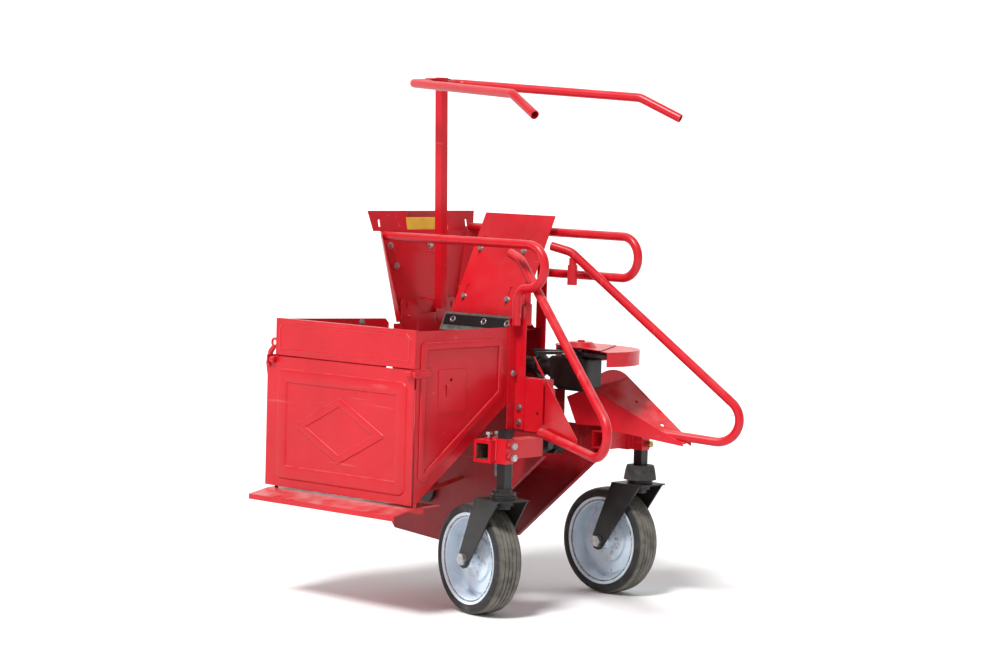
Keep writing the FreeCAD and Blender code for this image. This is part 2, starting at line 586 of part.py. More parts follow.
def bevel_gear(teeth, pitch_r, face, shaft_r, length):
    """Bevel gear about +Z with its apex at the origin, big end at z = -pitch_r, on its own shaft."""
    share = 1 - face / pitch_r
    module = 2 * pitch_r / teeth
    outline = gear_outline(teeth, module, depth=(0.55, 1.2))
    big = [V(x, y, -pitch_r) for x, y in outline]
    small = [V(x * share, y * share, -pitch_r * share) for x, y in outline]
    rings = [Part.makePolygon(ring + ring[:1]) for ring in (big, small)]
    gear = Part.makeLoft(rings, True, True)
    return fuse(gear, cyl((0, 0, -pitch_r - length), Z_AXIS, shaft_r, length + 1))


def star_drive():
    """Right-angle gearbox over the row, its long drive tube, and the star wheel with its guard."""
    case = box(-172, -32, STAR_Y - 32, STAR_Y + 30, 592, 676)
    case = case.makeFillet(6, case.Edges)
    sump = side_slab([(-164, 596), (-40, 596), (-54, 583), (-144, 583)], STAR_Y - 24, STAR_Y + 22)
    boss = cyl((-186, STAR_Y, SHAFT_Z), X_AXIS, 31, 20)
    neck = cyl((STAR_X, STAR_Y, 670), Z_AXIS, 24, 11)
    cavity = box(-132, -48, STAR_Y - 27, STAR_Y + 27, 604, 670)
    shell = fuse(case, sump, boss, neck).cut(cavity)
    shell = shell.cut(cyl((STAR_X, STAR_Y, 660), Z_AXIS, 10 + RUN_GAP, 40))
    shell = shell.cut(cyl((-200, STAR_Y, SHAFT_Z), X_AXIS, 10 + RUN_GAP, 70))
    rear_half = shell.cut(box(-53, 0, 300, 500, 560, 700))
    front_half = shell.cut(box(-300, -53, 300, 500, 560, 700))
    shapes["gearbox_case"] = group([rear_half, front_half])
    tube = cyl((REAR_X + SHEET, STAR_Y, SHAFT_Z), X_AXIS, 24.5, -186 - REAR_X - SHEET)
    collar = cyl((-236, STAR_Y, SHAFT_Z), X_AXIS, 33, 10)
    foot = cyl((REAR_X + SHEET, STAR_Y, SHAFT_Z), X_AXIS, 36, 8)
    tube = fuse(tube, collar, foot).cut(cyl((REAR_X, STAR_Y, SHAFT_Z), X_AXIS, 20, 420))
    shapes["drive_tube"] = tube

    pinion = bevel_gear(16, 24, 9, 10, 500)
    pinion.rotate(V(0, 0, 0), Y_AXIS, 90)
    pinion.translate(V(STAR_X, STAR_Y, SHAFT_Z))
    shapes["cross_shaft"] = pinion
    crown = bevel_gear(16, 24, 9, 10, 32)
    crown.rotate(V(0, 0, 0), Z_AXIS, 180.0 / 16)
    crown.rotate(V(0, 0, 0), X_AXIS, 180)
    crown.translate(V(STAR_X, STAR_Y, SHAFT_Z))
    shapes["star_shaft"] = crown

    hub = cyl((0, 0, 0), Z_AXIS, 34, 8)
    fingers = []
    for k in range(8):
        outline = [(24, -14), (84, -16), (128, 2), (142, 20), (133, 24), (112, 16), (78, 10), (24, 14)]
        finger = slab([(x, y, 0) for x, y in outline], (0, 0, 8))
        finger.rotate(V(0, 0, 0), Z_AXIS, 45 * k + 195)
        fingers.append(finger)
    star = fuse(hub, *fingers)
    star.translate(V(STAR_X, STAR_Y, STAR_Z - 4))
    shapes["star_wheel"] = star.cut(cyl((STAR_X, STAR_Y, 600), Z_AXIS, 10, 200))

    plate = cyl((STAR_X, STAR_Y, 700), Z_AXIS, GUARD_R, 2)
    inside = cyl((STAR_X, STAR_Y, 650), Z_AXIS, GUARD_R - 2, 55)
    skirt = cyl((STAR_X, STAR_Y, 662), Z_AXIS, GUARD_R, 38).cut(inside)
    row_side = box(-400, 400, -400, 0, 600, 800)
    row_side.rotate(V(0, 0, 0), Z_AXIS, -24)
    row_side.translate(V(STAR_X, STAR_Y, 0))
    stay = box(STAR_X - 14, STAR_X + 14, STAR_Y + 30, STAR_Y + GUARD_R - 1.5, 664, 668)
    shapes["star_guard"] = fuse(plate.cut(row_side), skirt.cut(row_side), stay)
    corners = [(-97, 2), (120, -60), (8, 143), (-130, 140)]
    cover = slab([(STAR_X + x, STAR_Y + y, 703) for x, y in corners], (0, 0, 2))
    dish = Part.makeCone(44, 32, 14, V(STAR_X, STAR_Y, 705), Z_AXIS)
    dish = dish.cut(Part.makeCone(41, 29, 12, V(STAR_X, STAR_Y, 704), Z_AXIS))
    cap_bolt = hexagon((STAR_X, STAR_Y, 719), Z_AXIS, 17, 5)
    spacers = [cyl((STAR_X + x, STAR_Y + y, 702), Z_AXIS, 6, 1) for x, y in ((-60, 100), (0, 120), (40, 60))]
    shapes["hub_cover"] = fuse(cover, dish, cap_bolt, *spacers)


# ---------------------------------------------------------------- casters

def turned(shape, stem_y, yaw):
    shape.rotate(V(0, 0, 0), Z_AXIS, yaw)
    shape.translate(V(0, stem_y, 0))
    return shape


def wheel_section(points):
    ring = [V(r, y, 0) for r, y in points]
    solid = Part.Face(Part.makePolygon(ring + ring[:1])).revolve(V(0, 0, 0), Y_AXIS, 360)
    solid.translate(V(-TRAIL, 0, WHEEL_R))
    return solid


def tyre():
    half = TYRE_W / 2
    crown = []
    for k in range(4):
        y = -18 + 12 * k
        crown += [(WHEEL_R - 0.6 * (k in (0, 3)), y - 1.5), (WHEEL_R - 4, y - 0.7), (WHEEL_R - 4, y + 0.7),
                  (WHEEL_R - 0.6 * (k in (0, 3)), y + 1.5)]
    right = [(BARREL_R, -half + 4), (RIM_R, -half + 4), (RIM_R + 1, -half + 2), (136, -half)]
    right += [(144, -half + 3), (147.5, -half + 9)]
    left = [(r, -y) for r, y in reversed(right)]
    return wheel_section(right + crown + left)


def rim():
    """Pressed rim with rolled edges, a stepped conical web and a hub tube."""
    half = TYRE_W / 2
    lip = half - 4
    barrel = wheel_section([(BARREL_R - 3, -lip + 3), (BARREL_R - 3, lip - 3), (RIM_R - 1, lip + 3),
                            (RIM_R, lip), (BARREL_R, lip), (BARREL_R, -lip), (RIM_R, -lip),
                            (RIM_R - 1, -lip - 3)])
    web = wheel_section([(20, -15), (58, -9), (62, -2), (92, 2), (98, 8), (BARREL_R - 2, 8),
                         (BARREL_R - 2, 11), (96, 11), (90, 5), (60, 1), (56, -6), (20, -12)])
    hub = wheel_section([(AXLE_R + RUN_GAP, -44), (24, -44), (24, 44), (AXLE_R + RUN_GAP, 44)])
    return fuse(barrel, web, hub)


def fork():
    plate = box(-62, 50, -51, 51, 318, 322)
    legs = []
    foot = [(-86, 138), (-94, 128), (-106, 124), (-120, 128), (-130, 142), (-130, 156)]
    for y in (-51, 46):
        legs.append(side_slab([(-62, 318), (42, 318)] + foot, y, y + 5))
    race = cyl((0, 0, 322), Z_AXIS, 36, 9)
    boss = cyl((0, 0, 306), Z_AXIS, 29, 12)
    solid = fuse(plate, race, boss, *legs)
    solid = solid.cut(cyl((0, 0, 290), Z_AXIS, KINGPIN_R + RUN_GAP, 60))
    return solid.cut(cyl((-TRAIL, -60, WHEEL_R), Y_AXIS, AXLE_R, 120))


def axle_bolt():
    at = (-TRAIL, -51, WHEEL_R)
    far_end = (-TRAIL, 51, WHEEL_R)
    head = hexagon(at, V(0, -1, 0), 30, 12)
    nut = hexagon(far_end, Y_AXIS, 30, 16)
    return fuse(cyl(at, Y_AXIS, AXLE_R, 102), head, nut, cyl(far_end, Y_AXIS, AXLE_R, 20))


def stem():
    """Square stem with the upper bearing cap and the kingpin that holds the fork."""
    bar = box(-STEM / 2, STEM / 2, -STEM / 2, STEM / 2, STEM_BASE, STEM_TOP)
    hollow = box(-10, 10, -10, 10, STEM_BASE + 40, STEM_TOP)
    cap = cyl((0, 0, 332), Z_AXIS, 33, 9)
    collar = cyl((0, 0, 341), Z_AXIS, 23, 8)
    pin = cyl((0, 0, 296), Z_AXIS, KINGPIN_R, 40)
    nut = hexagon((0, 0, 295), Z_AXIS, 34, 10)
    return fuse(bar.cut(hollow), cap, collar, pin, nut)


def boot():
    skirt = Part.makeCone(46, 42, 26, V(0, 0, 333), Z_AXIS)
    crown = Part.makeCone(42, 38, 14, V(0, 0, 359), Z_AXIS)
    shell = fuse(skirt, crown)
    cavity = cyl((0, 0, 330), Z_AXIS, 37, 30)
    bar = box(-STEM / 2, STEM / 2, -STEM / 2, STEM / 2, 330, 400)
    return shell.cut(cavity).cut(bar).cut(cyl((0, 0, 330), Z_AXIS, 23, 22))


def sleeve(y, z_top=483.0):
    """Square sleeve that slides on the front beam, with the stem holder welded to its front."""
    inner = BEAM / 2 + SLIDE_GAP
    outer = 30.0
    tube = box(BEAM_X - outer, BEAM_X + outer, y - 38, y + 40, BEAM_Z - outer, BEAM_Z + outer)
    tube = tube.cut(box(BEAM_X - inner, BEAM_X + inner, y - 50, y + 50, BEAM_Z - inner, BEAM_Z + inner))
    half, bore = HOLDER / 2, STEM / 2 + SLIDE_GAP
    holder = box(-half, half, y - half, y + half, 416, z_top)
    holder = holder.cut(box(-bore, bore, y - bore, y + bore, 400, 500))
    nuts = [hexagon((half, y, z), X_AXIS, 17, 7) for z in (434, 465)]
    nuts += [hexagon((BEAM_X, y + dy, BEAM_Z + outer), Z_AXIS, 17, 6) for dy in (-14, 20)]
    solid = fuse(tube, holder, *nuts)
    for z in (434, 465):
        solid = solid.cut(cyl((5, y, z), X_AXIS, 5, 30))
    for dy in (-14, 20):
        solid = solid.cut(cyl((BEAM_X, y + dy, BEAM_Z + 10), Z_AXIS, 5, 50))
    return solid


def set_screws(y):
    screws = []
    for z in (434, 465):
        shank = cyl((STEM / 2 + TIP_GAP, y, z), X_AXIS, 5, 18)
        screws.append(fuse(shank, hexagon((HOLDER / 2 + 12, y, z), X_AXIS, 17, 8)))
    for dy in (-14, 20):
        seat = BEAM_Z + BEAM / 2 + TIP_GAP
        shank = cyl((BEAM_X, y + dy, seat), Z_AXIS, 5, 20)
        screws.append(fuse(shank, hexagon((BEAM_X, y + dy, seat + 18), Z_AXIS, 17, 7)))
    return group(screws)


def casters():
    for side, y, yaw in (("right", NEAR_STEM_Y, NEAR_YAW), ("left", FAR_STEM_Y, FAR_YAW)):
        shapes["beam_sleeve_" + side] = sleeve(y)
        shapes["set_screws_" + side] = set_screws(y)
        upright = stem()
        upright.translate(V(0, y, 0))
        shapes["stem_" + side] = upright
        shapes["fork_" + side] = turned(fork(), y, yaw)
        shapes["axle_bolt_" + side] = turned(axle_bolt(), y, yaw)
        shapes["rim_" + side] = turned(rim(), y, yaw)
        shapes["tyre_" + side] = turned(tyre(), y, yaw)
    cover = boot()
    cover.translate(V(0, FAR_STEM_Y, 0))
    shapes["stem_boot"] = cover


# ---------------------------------------------------------------- fasteners

def frame_bolts(deflector_seats):
    """Identical M8 bolts: two in the corner post, one in the bin's wall, four in the deflector."""
    y_face = NEAR_Y - 2 * SHEET
    seats = [((-104, y_face, z), Y_AXIS, 6, ("corner_post_right", "column_bracket")) for z in (508, 548)]
    seats.append(((-120, 158, 640), V(-1, 0, 0), 5, ("corner_post_right", "bin_front_wall")))
    for seat, normal in deflector_seats:
        seats.append((tuple(seat), normal, 6.6, ("deflector", "deflector_stays")))
    bolts = []
    for seat, axis, grip, nodes in seats:
        for node in nodes:
            drill(node, seat, axis, radius=4.0, depth=40.0)
        bolts.append(bolt(seat, axis, grip))
    shapes["frame_bolts"] = group(bolts)


side_panels()
floor_pan()
rear_wall()
front_beams()
column_bracket()
corner_posts()
data_plate()
bin_walls()
bin_floor()
bin_upper_panel()
chute_lip()
door()
door_hinges()
latch()
rail_right()
rail_left()
loops()
snouts()
guide_bar()
back_plate()
post_bracket()
deflector_seats = deflector()
snapping_rolls()
gear_case()
roll_bearings()
chopper()
star_drive()
casters()
frame_bolts(deflector_seats)

# Centre the footprint on the origin and write one STEP per node
whole = Part.makeCompound(list(shapes.values())).BoundBox
shift = V(-(whole.XMin + whole.XMax) / 2, -(whole.YMin + whole.YMax) / 2, -whole.ZMin)
os.makedirs("parts", exist_ok=True)
for name, shape in shapes.items():
    shape.translate(shift)
    shape.exportStep("parts/" + name + ".step")
print(len(shapes), "nodes", "shift", shift, "size", whole.XLength, whole.YLength, whole.ZLength)
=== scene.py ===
import json
import math
import random

import bpy
from mathutils import Matrix, Vector


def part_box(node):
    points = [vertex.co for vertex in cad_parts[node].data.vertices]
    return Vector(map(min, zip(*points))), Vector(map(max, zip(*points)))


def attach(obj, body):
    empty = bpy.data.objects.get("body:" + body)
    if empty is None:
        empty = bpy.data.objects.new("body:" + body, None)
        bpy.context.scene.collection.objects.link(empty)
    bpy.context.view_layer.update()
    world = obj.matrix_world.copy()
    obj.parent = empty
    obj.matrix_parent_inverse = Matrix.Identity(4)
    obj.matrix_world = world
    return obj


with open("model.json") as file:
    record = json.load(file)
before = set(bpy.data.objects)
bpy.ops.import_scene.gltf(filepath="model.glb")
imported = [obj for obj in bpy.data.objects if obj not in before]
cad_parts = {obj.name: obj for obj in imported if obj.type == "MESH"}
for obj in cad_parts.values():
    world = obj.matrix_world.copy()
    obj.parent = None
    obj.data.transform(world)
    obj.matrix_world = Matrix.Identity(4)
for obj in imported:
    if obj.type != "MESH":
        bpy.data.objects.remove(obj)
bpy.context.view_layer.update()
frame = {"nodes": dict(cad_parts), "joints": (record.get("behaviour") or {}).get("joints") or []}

nodes = frame["nodes"]
scene = bpy.context.scene
MM = 0.001

# ---------------------------------------------------------------- cheeks, pan, wall, beams and posts
# The header's frame is folded and welded mild steel sheet, with two square tubes and two angle posts.
# It is sprayed with one thick coat of glossy red alkyd enamel: orange peel, fine scratches, and field
# dust that lies on whatever faces up and thickens towards the ground; on the red, that dust is drawn a
# pale pink which is partly painted highlight, standing in for sun glare on the faces that look up.

def linear(colour):
    """Linear RGBA of an sRGB hex colour."""
    channels = [int(colour[i:i + 2], 16) / 255 for i in (1, 3, 5)]
    return [c / 12.92 if c <= 0.04045 else ((c + 0.055) / 1.055) ** 2.4 for c in channels] + [1.0]


def add(tree, kind, links=None, **settings):
    """One shader node: links go to its inputs, either values or another node's output socket."""
    new = tree.nodes.new(kind)
    for name, value in settings.items():
        setattr(new, name, value)
    for name, value in (links or {}).items():
        if isinstance(value, bpy.types.NodeSocket):
            tree.links.new(value, new.inputs[name])
        else:
            new.inputs[name].default_value = value
    return new


def blank_material(name):
    material = bpy.data.materials.new(name)
    material.use_nodes = True
    material.node_tree.nodes.clear()
    return material, material.node_tree


def blotches(tree, place, size_mm, low, high, detail=3.0, stretch=(1, 1, 1)):
    """Noise about size_mm across, turned into a 0 to 1 mask between the two thresholds."""
    at = add(tree, "ShaderNodeVectorMath", {0: place, 1: stretch}, operation="MULTIPLY").outputs[0]
    noise = add(tree, "ShaderNodeTexNoise", {"Vector": at, "Scale": 1000 / size_mm, "Detail": detail})
    spread = {"Value": noise.outputs["Fac"], "From Min": low, "From Max": high}
    return add(tree, "ShaderNodeMapRange", spread).outputs[0]


def times(tree, a, b):
    return add(tree, "ShaderNodeMath", {0: a, 1: b}, operation="MULTIPLY").outputs[0]


def mixed(tree, share, a, b):
    """Colour a turning into b by share."""
    mix = add(tree, "ShaderNodeMix", {"Factor": share}, data_type="RGBA", clamp_factor=True)
    for socket, value in ((mix.inputs[6], a), (mix.inputs[7], b)):
        if isinstance(value, bpy.types.NodeSocket):
            tree.links.new(value, socket)
        else:
            socket.default_value = value
    return mix.outputs[2]


def lying_dust(tree, place, patch_mm, top=0.9, low_z=0.12, high_z=0.75, side=0.10):
    """Mask of dust: full on faces that look up, a little on upright ones, thicker near the ground."""
    normal = add(tree, "ShaderNodeSeparateXYZ", {0: add(tree, "ShaderNodeNewGeometry").outputs["Normal"]})
    tilt = {"Value": normal.outputs["Z"], "From Min": 0.35, "From Max": 0.98, "To Min": side, "To Max": top}
    facing = add(tree, "ShaderNodeMapRange", tilt).outputs[0]
    height = add(tree, "ShaderNodeSeparateXYZ", {0: place}).outputs["Z"]
    fade = {"Value": height, "From Min": low_z, "From Max": high_z, "To Min": 1.0, "To Max": 0.30}
    near_ground = add(tree, "ShaderNodeMapRange", fade).outputs[0]
    patches = blotches(tree, place, patch_mm, 0.34, 0.66, detail=6.0)
    return times(tree, times(tree, facing, near_ground), patches)


def enamel(name, colour, shade, dust_colour, roughness, peel=0.10, dust=0.9, side=0.10, scratch="#E58E8B"):
    """Sprayed enamel on sheet steel, with soft edges where the sheet is folded or cut."""
    material, tree = blank_material(name)
    place = add(tree, "ShaderNodeTexCoord").outputs["Object"]
    body = mixed(tree, blotches(tree, place, 240, 0.3, 0.7), linear(colour), linear(shade))
    long_marks = blotches(tree, place, 26, 0.735, 0.775, detail=1.0, stretch=(0.10, 1, 2.4))
    cross_marks = blotches(tree, place, 22, 0.745, 0.785, detail=1.0, stretch=(1.6, 1, 0.09))
    marks = add(tree, "ShaderNodeMath", {0: long_marks, 1: cross_marks}, operation="MAXIMUM").outputs[0]
    marks = times(tree, marks, 0.16)
    body = mixed(tree, marks, body, linear(scratch))
    powder = lying_dust(tree, place, 45, top=dust, side=side)
    body = mixed(tree, powder, body, linear(dust_colour))
    rough = add(tree, "ShaderNodeMapRange", {"Value": powder, "To Min": roughness, "To Max": 0.85}).outputs[0]
    soft_edge = add(tree, "ShaderNodeBevel", {"Radius": 1.2 * MM}, samples=3).outputs[0]
    # Orange peel of about 1.5 mm, drawn at 4 mm so that it shows
    waves = add(tree, "ShaderNodeTexNoise", {"Vector": place, "Scale": 1000 / 4, "Detail": 2.0})
    fine = {"Height": waves.outputs["Fac"], "Strength": peel, "Distance": 0.25 * MM}
    # Shallow dents in the sheet, about 140 mm across
    dents = add(tree, "ShaderNodeTexNoise", {"Vector": place, "Scale": 1000 / 140, "Detail": 1.0})
    large = {"Height": dents.outputs["Fac"], "Strength": 0.35, "Distance": 2.2 * MM, "Normal": soft_edge}
    fine["Normal"] = add(tree, "ShaderNodeBump", large).outputs[0]
    relief = add(tree, "ShaderNodeBump", fine).outputs[0]
    shader = add(tree, "ShaderNodeBsdfPrincipled", {"Base Color": body, "Roughness": rough, "Normal": relief,
                                                    "IOR": 1.42, "Coat Weight": 0.10, "Coat Roughness": 0.12})
    add(tree, "ShaderNodeOutputMaterial", {"Surface": shader.outputs[0]})
    return material


def paint(material, *names):
    for name in names:
        for slot in nodes[name].material_slots:
            slot.material = material


# The red's pale pink dust colour is partly real dust and partly painted highlight, in place of sun glare on
# faces that look up
red_enamel = enamel("red_alkyd_enamel", "#CF1023", "#C00C1C", "#C9908C", 0.34, dust=0.75, side=0.03)
# The sheets below the bin get a deeper red and a darker dust than the rest: painted shade, in place of
# the heavy shade that the bin and the wheels throw on them; dust lies on them as on the rest
painted_shade_red_enamel = enamel("red_alkyd_enamel_painted_shade", "#A20E1B", "#840C17", "#8C6A62", 0.42, dust=0.6, side=0.10)
paint(painted_shade_red_enamel, "side_panel_right", "side_panel_left", "floor_pan")
paint(red_enamel, "rear_wall", "front_beams", "column_bracket", "corner_post_right", "corner_post_left")


def piece(name, points, faces, material, body, smooth=True):
    """A mesh piece in the row frame that rides on a body."""
    mesh = bpy.data.meshes.new(name)
    mesh.from_pydata([tuple(p) for p in points], [], faces)
    mesh.validate()
    mesh.polygons.foreach_set("use_smooth", [smooth] * len(mesh.polygons))
    new = bpy.data.objects.new(name, mesh)
    scene.collection.objects.link(new)
    mesh.materials.append(material)
    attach(new, body)
    return new


def rings_mesh(rings, cap_start=False, cap_end=False):
    """Points and faces of a skin through rings of equal count."""
    count = len(rings[0])
    points = [p for ring in rings for p in ring]
    faces = []
    for k in range(len(rings) - 1):
        for i in range(count):
            j = (i + 1) % count
            faces.append((k * count + i, k * count + j, (k + 1) * count + j, (k + 1) * count + i))
    if cap_start:
        faces.append(tuple(reversed(range(count))))
    if cap_end:
        faces.append(tuple(range((len(rings) - 1) * count, len(rings) * count)))
    return points, faces


def frame_about(direction):
    """Two unit vectors square to direction and to each other."""
    axis = Vector(direction).normalized()
    side = axis.cross(Vector((0, 0, 1)) if abs(axis.z) < 0.9 else Vector((1, 0, 0))).normalized()
    return axis, side, axis.cross(side)


def lathe(seat, direction, profile, count=24, turn=0.0):
    """Rings about direction from seat: profile holds (radius, height) in mm."""
    axis, side, up = frame_about(direction)
    rings = []
    for radius, height in profile:
        ring = []
        for k in range(count):
            angle = turn + 2 * math.pi * k / count
            spoke = side * math.cos(angle) + up * math.sin(angle)
            ring.append(Vector(seat) + axis * (height * MM) + spoke * (radius * MM))
        rings.append(ring)
    return rings


# Zero of the measures below: the right-hand caster's stem, at the ground
stem_low, stem_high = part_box("stem_right")
datum = Vector(((stem_low.x + stem_high.x) / 2, (stem_low.y + stem_high.y) / 2, 0))


def at(x, y, z):
    """A point given in mm from the right-hand stem's axis at the ground."""
    return datum + Vector((x, y, z)) * MM


# The beams are open-ended, and bare mill scale and rust show inside them
def rusty(name, colour, shade):
    material, tree = blank_material(name)
    place = add(tree, "ShaderNodeTexCoord").outputs["Object"]
    coat = mixed(tree, blotches(tree, place, 9, 0.35, 0.65, detail=6.0), linear(colour), linear(shade))
    grain = add(tree, "ShaderNodeTexNoise", {"Vector": place, "Scale": 1000 / 2.5, "Detail": 4.0})
    pits = {"Height": grain.outputs["Fac"], "Strength": 0.5, "Distance": 0.3 * MM}
    bump = add(tree, "ShaderNodeBump", pits).outputs[0]
    shader = add(tree, "ShaderNodeBsdfPrincipled", {"Base Color": coat, "Roughness": 0.85, "Normal": bump})
    add(tree, "ShaderNodeOutputMaterial", {"Surface": shader.outputs[0]})
    return material


rust = rusty("mill_scale_rust", "#6B4A33", "#38281F")
beam_low, beam_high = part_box("front_beams")
# Half the bore's width, and how far the skin stops short of the tube's mouth, in mm
BORE = 20.8
LIP = 0.5
for end, y0, y1 in (("right", beam_low.y + LIP * MM, beam_low.y + 150 * MM),
                    ("left", beam_high.y - 120 * MM, beam_high.y - LIP * MM)):
    middle = Vector(((beam_low.x + beam_high.x) / 2, 0, (beam_low.z + beam_high.z) / 2))
    corners = [Vector((sx, 0, sz)) * (BORE * MM) for sx, sz in ((-1, -1), (1, -1), (1, 1), (-1, 1))]
    skin = [[middle + c + Vector((0, y, 0)) for c in corners] for y in (y0, y1)]
    points, faces = rings_mesh(skin, cap_start=end == "left", cap_end=end == "right")
    piece("beam_inside_" + end, points, faces, rust, "header", smooth=False)

# ---------------------------------------------------------------- data plate
# A thin stamped aluminium plate riveted to the right cheek; it is left blank, with a rolled border.

def metal(name, colour, shade, roughness, patch_mm=14, grain=(1, 1, 1), grain_mm=1.2, dust=0.25):
    """Bare or plated metal with a faint grain, dull patches and a little dust."""
    material, tree = blank_material(name)
    place = add(tree, "ShaderNodeTexCoord").outputs["Object"]
    patches = blotches(tree, place, patch_mm, 0.3, 0.7, detail=5.0)
    coat = mixed(tree, patches, linear(colour), linear(shade))
    powder = lying_dust(tree, place, 20, top=dust, side=dust / 4)
    coat = mixed(tree, powder, coat, linear("#8F8377"))
    bare = add(tree, "ShaderNodeMapRange", {"Value": powder, "To Min": 1.0, "To Max": 0.2}).outputs[0]
    rough = add(tree, "ShaderNodeMapRange", {"Value": patches, "To Min": roughness,
                                             "To Max": roughness + 0.18}).outputs[0]
    lines = blotches(tree, place, grain_mm, 0.2, 0.8, detail=2.0, stretch=grain)
    soft_edge = add(tree, "ShaderNodeBevel", {"Radius": 0.6 * MM}, samples=3).outputs[0]
    bump = add(tree, "ShaderNodeBump", {"Height": lines, "Strength": 0.2, "Distance": 0.1 * MM,
                                        "Normal": soft_edge}).outputs[0]
    shader = add(tree, "ShaderNodeBsdfPrincipled", {"Base Color": coat, "Roughness": rough, "Metallic": bare,
                                                    "Normal": bump})
    add(tree, "ShaderNodeOutputMaterial", {"Surface": shader.outputs[0]})
    return material


stamped_aluminium = metal("stamped_aluminium", "#9C9EA0", "#7C7E80", 0.40, grain=(0.1, 1, 1))
zinc_plate = metal("bright_zinc_plate", "#C3C7C8", "#A2A5A4", 0.28)
yellow_zinc = metal("yellow_zinc_plate", "#B7A36B", "#93804E", 0.32)
turned_steel = metal("turned_steel", "#8E8F8F", "#6F6F6D", 0.34, grain=(0.2, 1, 1))
paint(stamped_aluminium, "data_plate")


def rounded(corners, radius, steps=5):
    """Closed outline of 2-D corners, each rounded by an arc of that radius."""
    outline = []
    count = len(corners)
    for i in range(count):
        here, before, after = Vector(corners[i]), Vector(corners[i - 1]), Vector(corners[(i + 1) % count])
        to_before, to_after = (before - here).normalized(), (after - here).normalized()
        half = to_before.angle(to_after) / 2
        centre = here + (to_before + to_after).normalized() * (radius / math.sin(half))
        first = here + to_before * (radius / math.tan(half))
        last = here + to_after * (radius / math.tan(half))
        for k in range(steps + 1):
            blend = first.lerp(last, k / steps) - centre
            outline.append(centre + blend.normalized() * radius)
    return outline


def inset(corners, distance):
    """A convex outline, given anticlockwise, moved inwards."""
    moved = []
    count = len(corners)
    for i in range(count):
        here, before, after = Vector(corners[i]), Vector(corners[i - 1]), Vector(corners[(i + 1) % count])
        to_before, to_after = (before - here).normalized(), (after - here).normalized()
        half = to_before.angle(to_after) / 2
        moved.append(here + (to_before + to_after).normalized() * (distance / math.sin(half)))
    return moved


def pressing(name, corners, width, height, radius, to_space, body, material=None):
    """A shape pressed out of a sheet: a band of that width along the outline, or all of it if no width."""
    rise = [(0, -0.3), (1.2, 0.35 * height), (2.6, 0.92 * height), (4, height)]
    steps = rise + ([(width - d, h) for d, h in reversed(rise)] if width else [])
    rings = []
    for distance, lift in steps:
        outline = rounded(inset(corners, distance), max(radius - distance, 1.5))
        rings.append([to_space(p.x, p.y, lift) for p in outline])
    points, faces = rings_mesh(rings, cap_end=not width)
    return piece(name, points, faces, material or red_enamel, body)


plate_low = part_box("data_plate")[0]


def on_data_plate(u, v, h):
    """u runs forwards from the plate's rear edge, v up from its foot, h outwards, in mm."""
    return plate_low + Vector((u, -h, v)) * MM


plate_corners = [(4, 4), (62, 4), (62, 50), (4, 50)]
pressing("data_plate_border", plate_corners, 9, 0.9, 5, on_data_plate, "header",
         stamped_aluminium)

# ---------------------------------------------------------------- ear bin
# Walls of 2 mm sheet, spot-welded at the corners. The front wall and the upper panel each have a raised
# band pressed into them so that they stay flat; the front wall's raised pad with a hole and a slot is not
# drawn.
paint(red_enamel, "bin_front_wall", "bin_rear_wall", "bin_floor", "bin_upper_panel", "chute_lip")

wall_low, wall_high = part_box("bin_front_wall")


def on_front_wall(u, v, h):
    """u runs to the left from the wall's right edge, v up from the ground, h out of the wall, in mm."""
    return Vector((wall_high.x + h * MM, wall_low.y + u * MM, v * MM))


band = [(14, 352), (338, 583), (338, 736), (14, 736)]
pressing("front_wall_band", band, 22, 2.6, 16, on_front_wall, "header")

panel_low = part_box("bin_upper_panel")[0]


def on_upper_panel(u, v, h):
    """u runs forwards from the panel's rear edge, v up from its foot, h outwards, in mm."""
    return Vector((panel_low.x + u * MM, panel_low.y - h * MM, panel_low.z + v * MM))


band = [(12, 12), (510, 12), (510, 76), (494, 92), (30, 92), (12, 76)]
pressing("upper_panel_band", band, 9, 1.8, 9, on_upper_panel, "header")

# ---------------------------------------------------------------- outlet door
# One pressed sheet hung from two pins, with a raised border and a raised double diamond.
paint(red_enamel, "door", "bin_brackets", "latch_lever")

door_low, door_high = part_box("door")
DOOR_SHEET = 2.0


def on_door(u, v, h):
    """u runs forwards from the door's rear edge, v up from its foot, h outwards, in mm."""
    return Vector((door_low.x + u * MM, door_high.y - (DOOR_SHEET + h) * MM, door_low.z + v * MM))


pressing("door_border", [(42, 22), (532, 22), (532, 324), (42, 324)], 38, 3.2, 22, on_door, "door")
diamond = [(106, 172), (283, 81), (460, 172), (283, 263)]
pressing("door_diamond", diamond, 24, 3.0, 8, on_door, "door")


def rivet(name, seat, direction, radius, material, body):
    """A snap-head rivet standing on a sheet."""
    dome = [(radius * math.cos(a), radius * 0.55 * math.sin(a)) for a in (0, 0.35, 0.7, 1.05, 1.35)]
    rings = lathe(seat, direction, [(radius, -0.4)] + dome, count=16)
    points, faces = rings_mesh(rings, cap_end=True)
    return piece(name, points, faces, material, body)


# The front hinge's plate is riveted to the wall and rolled round the pin at its outer end
HINGE_Z, HINGE_PLATE = 653, 4.0
leaf = [(-5, 640), (50, 640), (50, 667), (-5, 667)]
pressing("hinge_plate_front", leaf, 0, HINGE_PLATE, 8, on_front_wall, "header")
for i, u in enumerate((16, 38)):
    seat = on_front_wall(u, HINGE_Z + 1, HINGE_PLATE)
    rivet("hinge_rivet_front_%d" % (i + 1), seat, (1, 0, 0), 4.6, red_enamel, "header")
rolled = lathe(on_front_wall(-14, HINGE_Z, 1), (1, 0, 0), [(9, 0), (9, 9), (7.5, 10.5)])
knuckle, faces = rings_mesh(rolled, cap_end=True)
piece("hinge_knuckle_front", knuckle, faces, red_enamel, "header")

# ---------------------------------------------------------------- rails, loops and snouts
# 25 mm welded tube bent cold, painted in place; the sheet snouts are stitch-welded to the lower bars.
paint(red_enamel, "rail_right", "rail_left", "loop_right", "loop_left")


